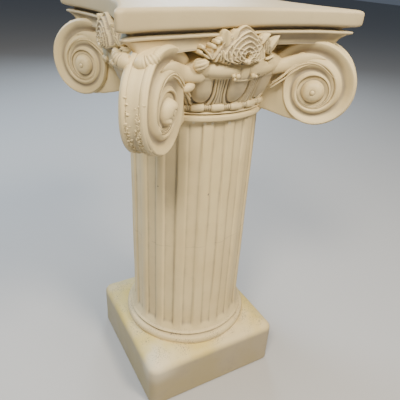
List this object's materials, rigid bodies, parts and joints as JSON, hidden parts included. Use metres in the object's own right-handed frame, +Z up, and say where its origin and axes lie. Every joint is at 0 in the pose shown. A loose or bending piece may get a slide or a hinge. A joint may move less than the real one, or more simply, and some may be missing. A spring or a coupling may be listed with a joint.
{
  "type": "column pedestal",
  "caption": "Cast plaster pedestal: a square plinth, a short fluted drum and an Ionic capital with corner scrolls, roses and a hollow-sided top slab.",
  "frame": {"origin": "middle of the plinth's underside, on the column's axis", "axes": "+Z up the column, -Y the front, square to one side of the plinth"},
  "size_m": [0.4096, 0.4096, 0.763],
  "materials": {
    "cast_plaster": "ivory cast plaster, matt to slightly satin, with dull grime in the hollows"
  },
  "bodies": {
    "root": {"column_pedestal": "cast_plaster"}
  },
  "joints": []
}
